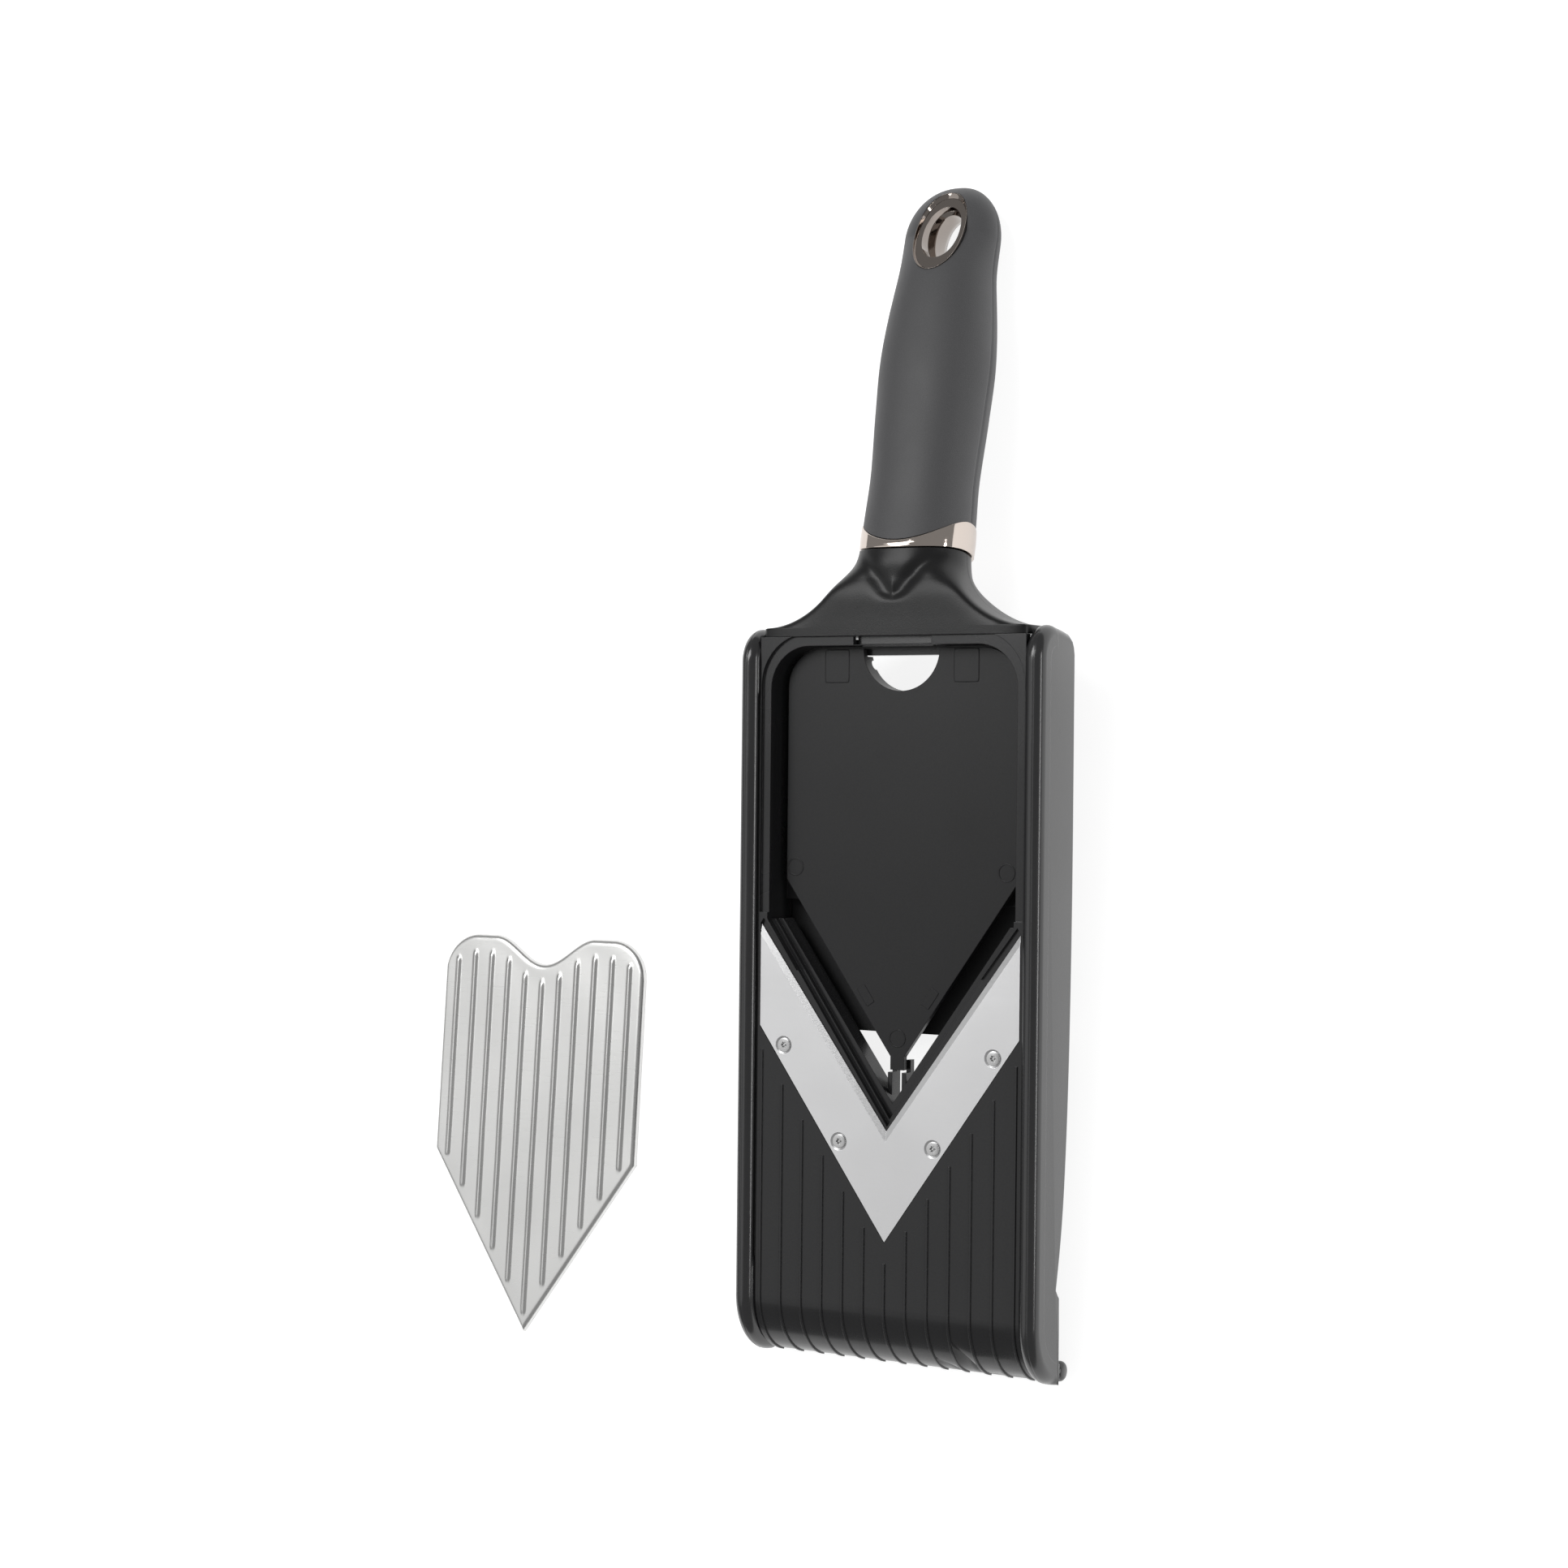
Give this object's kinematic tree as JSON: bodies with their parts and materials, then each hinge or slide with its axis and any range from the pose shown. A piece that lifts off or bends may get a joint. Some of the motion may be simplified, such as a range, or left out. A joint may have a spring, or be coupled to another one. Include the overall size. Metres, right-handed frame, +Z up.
{
  "type": "mandoline slicer",
  "caption": "Hand-held V-blade slicer with a tilting thickness ramp, an underside dial, a soft bent-back handle with a hanging eyelet, and a separate ribbed steel feed plate.",
  "frame": {"origin": "centre of the narrow flat under the foot bead along the slicer's far end, on the table that it lies on, face up", "axes": "+Z up from the table; +Y from the foot towards the handle; +X across, to the right when the working face is up and the handle is away from the viewer"},
  "size_m": [0.2525, 0.4003, 0.0471],
  "materials": {
    "frame_plastic": "semi-gloss moulded black plastic",
    "rail_plastic": "glossy moulded black plastic with satin side walls",
    "textured_plastic": "fine spark-textured black plastic",
    "inner_plastic": "matte black plastic",
    "ramp_plastic": "satin charcoal plastic",
    "cam_plastic": "natural acetal",
    "soft_grip": "soft-touch charcoal overmould",
    "blade_steel": "satin stainless steel",
    "plate_steel": "bright polished pressed stainless steel",
    "screw_steel": "bright stainless steel",
    "spring_steel": "spring steel",
    "dark_chrome": "dark bronze-tinted chrome plating"
  },
  "bodies": {
    "slicer": {"main_frame": "frame_plastic", "left_side_rail": "rail_plastic", "right_side_rail": "rail_plastic", "neck_front": "textured_plastic", "neck_back_cover": "textured_plastic", "cover_screws": "screw_steel", "rear_bridge": "inner_plastic", "bridge_screws": "screw_steel", "v_blade": "blade_steel", "blade_screws": "screw_steel", "ramp_hinge_pins": "screw_steel", "detent_spring": "spring_steel", "handle_core": "inner_plastic", "handle_grip": "soft_grip", "collar_ring": "dark_chrome", "eyelet_front": "dark_chrome", "eyelet_back": "dark_chrome"},
    "ramp": {"thickness_ramp": "ramp_plastic"},
    "dial": {"adjuster_dial": "frame_plastic", "lift_cam": "cam_plastic", "dial_screw": "screw_steel"},
    "latch": {"plate_latch": "rail_plastic"},
    "plate": {"feed_plate": "plate_steel"}
  },
  "joints": [
    {"name": "dial_turn", "type": "hinge", "parent": "slicer", "child": "dial", "pos_m": [0, 0.12635, 0.01336], "axis": [0, -0.0841, 0.9965], "range_deg": [0, 150]},
    {"name": "ramp_tilt", "type": "hinge", "parent": "slicer", "child": "ramp", "pos_m": [0, 0.22549, 0.02905], "axis": [-1, 0, 0], "range_deg": [0, 2.4]},
    {"name": "latch_slide", "type": "slide", "parent": "slicer", "child": "latch", "axis": [0, 0.9965, 0.0841], "range_m": [0, 0.0025], "stiffness_N_per_m": 300},
    {"name": "plate_lift", "type": "slide", "parent": "slicer", "child": "plate", "axis": [0, 0, 1], "range_m": [0, 0.08]}
  ],
  "couplings": [
    {"joint": "ramp_tilt", "follows": "dial_turn", "ratio": 0.016}
  ]
}
